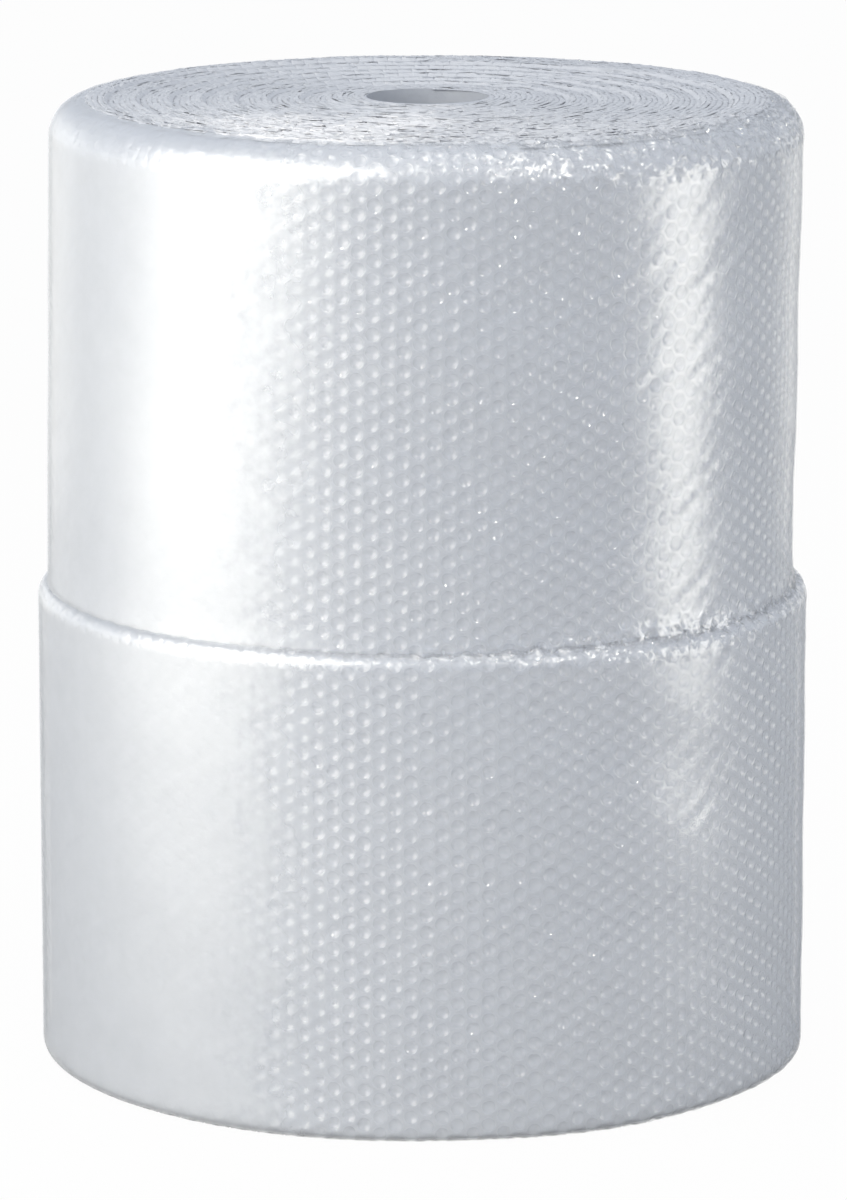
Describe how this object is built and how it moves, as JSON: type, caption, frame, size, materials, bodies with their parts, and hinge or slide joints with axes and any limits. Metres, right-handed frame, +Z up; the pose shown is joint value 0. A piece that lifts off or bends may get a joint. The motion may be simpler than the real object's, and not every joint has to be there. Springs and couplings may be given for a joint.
{
  "type": "bubble wrap roll",
  "caption": "Large roll of clear small-bubble film, slit across into short rolls that stand stacked on one open bore.",
  "frame": {"origin": "centre of the foot of the lower roll, on the bore's axis", "axes": "+Z up the bore; -Y is the front that the picture shows; the film's free end is at +Y"},
  "size_m": [0.4883, 0.49, 0.61],
  "materials": {
    "film": "clear bubble film, milky and bluish in many wound turns, glossy at its surface"
  },
  "bodies": {
    "root": {"lower_roll": "film", "upper_roll": "film"}
  },
  "joints": []
}
